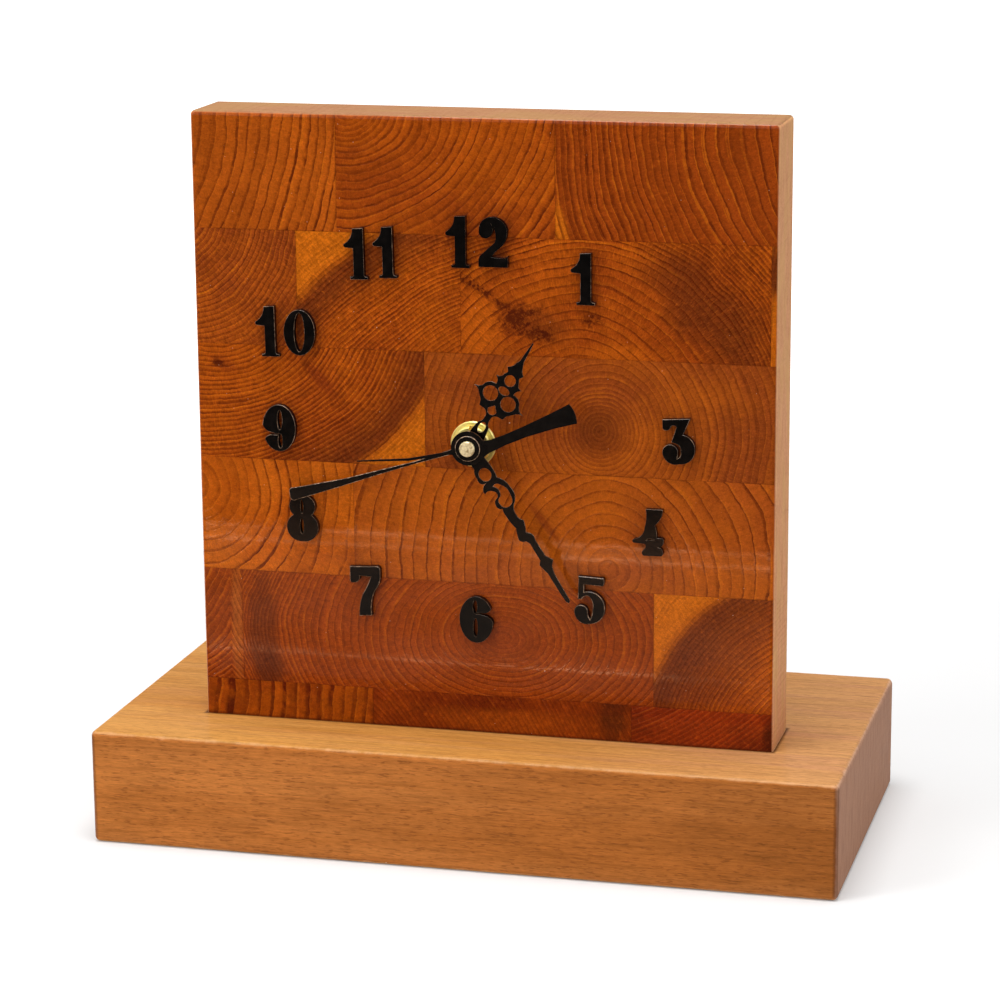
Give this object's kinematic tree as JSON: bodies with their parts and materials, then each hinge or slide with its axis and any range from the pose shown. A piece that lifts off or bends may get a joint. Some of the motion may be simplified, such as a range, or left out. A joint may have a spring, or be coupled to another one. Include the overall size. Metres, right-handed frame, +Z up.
{
  "type": "wooden desk clock",
  "caption": "Desk clock: upright end-grain wood panel on a solid wooden board, glued-on numerals, ornate hands with a long extra pointer, battery quartz movement in the back.",
  "frame": {"origin": "middle of the underside of the base board, which is the bottom centre of the whole clock's box", "axes": "+Z up; the dial faces -Y; +X is to the right of someone who reads the dial"},
  "size_m": [0.259, 0.126, 0.2505],
  "materials": {
    "base_wood": "solid board under a satin varnish, worn along its edges",
    "end_grain_wood": "end-grain blocks under a glossy varnish, each with its own growth rings",
    "screw_steel": "zinc-plated",
    "numeral_black": "glossy black",
    "hand_black": "satin black paint",
    "brass": "turned and lightly polished",
    "pin_metal": "brushed pale nickel",
    "washer_rubber": "matt",
    "case_plastic": "moulded black, fine texture",
    "gear_plastic": "off-white moulded",
    "magnet": "dark sintered magnet",
    "soft_iron": "stamped",
    "coil_wire": "enamelled copper wire",
    "board": "circuit board with a black resin drop",
    "can_metal": "drawn can",
    "battery_sleeve": "plain printed sleeve over a metal can",
    "contact_metal": "nickel-plated spring strip",
    "knob_plastic": "pale moulded"
  },
  "bodies": {
    "clock_stand": {"base_board": "base_wood", "base_screws": "screw_steel", "circuit_board": "board", "coil": "coil_wire", "coil_core": "soft_iron", "course_1_block_1": "end_grain_wood", "course_1_block_2": "end_grain_wood", "course_1_block_3": "end_grain_wood", "course_2_block_1": "end_grain_wood", "course_2_block_2": "end_grain_wood", "course_2_block_3": "end_grain_wood", "course_2_block_4": "end_grain_wood", "course_3_block_1": "end_grain_wood", "course_3_block_2": "end_grain_wood", "course_4_block_1": "end_grain_wood", "course_4_block_2": "end_grain_wood", "course_5_block_1": "end_grain_wood", "course_5_block_2": "end_grain_wood", "course_5_block_3": "end_grain_wood", "course_6_block_1": "end_grain_wood", "course_6_block_2": "end_grain_wood", "course_6_block_3": "end_grain_wood", "dial_nut": "brass", "dial_washer": "brass", "front_plate": "case_plastic", "middle_plate": "gear_plastic", "movement_case": "case_plastic", "negative_contact": "contact_metal", "numeral_1": "numeral_black", "numeral_10": "numeral_black", "numeral_11": "numeral_black", "numeral_12": "numeral_black", "numeral_3": "numeral_black", "numeral_4": "numeral_black", "numeral_5": "numeral_black", "numeral_6": "numeral_black", "numeral_7": "numeral_black", "numeral_8": "numeral_black", "numeral_9": "numeral_black", "positive_contact": "contact_metal", "quartz_crystal": "can_metal", "rubber_washer": "washer_rubber", "stator": "soft_iron", "threaded_bush": "brass"},
    "seconds": {"seconds_wheel": "gear_plastic", "second_hand": "hand_black", "second_hand_cap": "pin_metal"},
    "minutes": {"cannon_pinion": "gear_plastic", "minute_hand": "hand_black"},
    "hours": {"hour_wheel": "gear_plastic", "hour_hand": "hand_black"},
    "pointer": {"pointer_hand": "hand_black"},
    "centre": {"centre_wheel": "gear_plastic"},
    "third": {"third_wheel": "gear_plastic"},
    "intermediate": {"intermediate_wheel": "gear_plastic"},
    "rotor": {"rotor": "magnet"},
    "motion": {"motion_wheel": "gear_plastic"},
    "knob": {"setting_arbor": "gear_plastic", "setting_knob": "knob_plastic"},
    "cell": {"battery": "battery_sleeve"}
  },
  "joints": [
    {"name": "seconds_spin", "type": "hinge", "parent": "clock_stand", "child": "seconds", "pos_m": [-0.0001, 0, 0.1409], "axis": [0, 1, 0], "continuous": true},
    {"name": "minute_spin", "type": "hinge", "parent": "clock_stand", "child": "minutes", "pos_m": [-0.0001, 0, 0.1409], "axis": [0, 1, 0], "continuous": true},
    {"name": "hour_spin", "type": "hinge", "parent": "clock_stand", "child": "hours", "pos_m": [-0.0001, 0, 0.1409], "axis": [0, 1, 0], "continuous": true},
    {"name": "pointer_turn", "type": "hinge", "parent": "clock_stand", "child": "pointer", "pos_m": [-0.0001, 0, 0.1409], "axis": [0, 1, 0], "continuous": true},
    {"name": "centre_spin", "type": "hinge", "parent": "clock_stand", "child": "centre", "pos_m": [-0.0001, 0, 0.1409], "axis": [0, 1, 0], "continuous": true},
    {"name": "third_spin", "type": "hinge", "parent": "clock_stand", "child": "third", "pos_m": [-0.0098, 0, 0.1465], "axis": [0, 1, 0], "continuous": true},
    {"name": "intermediate_spin", "type": "hinge", "parent": "clock_stand", "child": "intermediate", "pos_m": [0.0035, 0, 0.14714], "axis": [0, 1, 0], "continuous": true},
    {"name": "rotor_spin", "type": "hinge", "parent": "clock_stand", "child": "rotor", "pos_m": [0.01008, 0, 0.14953], "axis": [0, 1, 0], "continuous": true},
    {"name": "motion_spin", "type": "hinge", "parent": "clock_stand", "child": "motion", "pos_m": [0.00717, 0, 0.1451], "axis": [0, 1, 0], "continuous": true},
    {"name": "knob_spin", "type": "hinge", "parent": "clock_stand", "child": "knob", "pos_m": [0.01507, 0, 0.14223], "axis": [0, 1, 0], "continuous": true},
    {"name": "cell_slide", "type": "slide", "parent": "clock_stand", "child": "cell", "axis": [0, 1, 0], "range_m": [0, 0.022]}
  ],
  "couplings": [
    {"joint": "third_spin", "follows": "seconds_spin", "ratio": -0.125},
    {"joint": "centre_spin", "follows": "seconds_spin", "ratio": 0.016667},
    {"joint": "intermediate_spin", "follows": "seconds_spin", "ratio": -5},
    {"joint": "rotor_spin", "follows": "seconds_spin", "ratio": 30},
    {"joint": "hour_spin", "follows": "minute_spin", "ratio": 0.083333},
    {"joint": "motion_spin", "follows": "minute_spin", "ratio": -0.33333},
    {"joint": "knob_spin", "follows": "minute_spin", "ratio": 1}
  ]
}
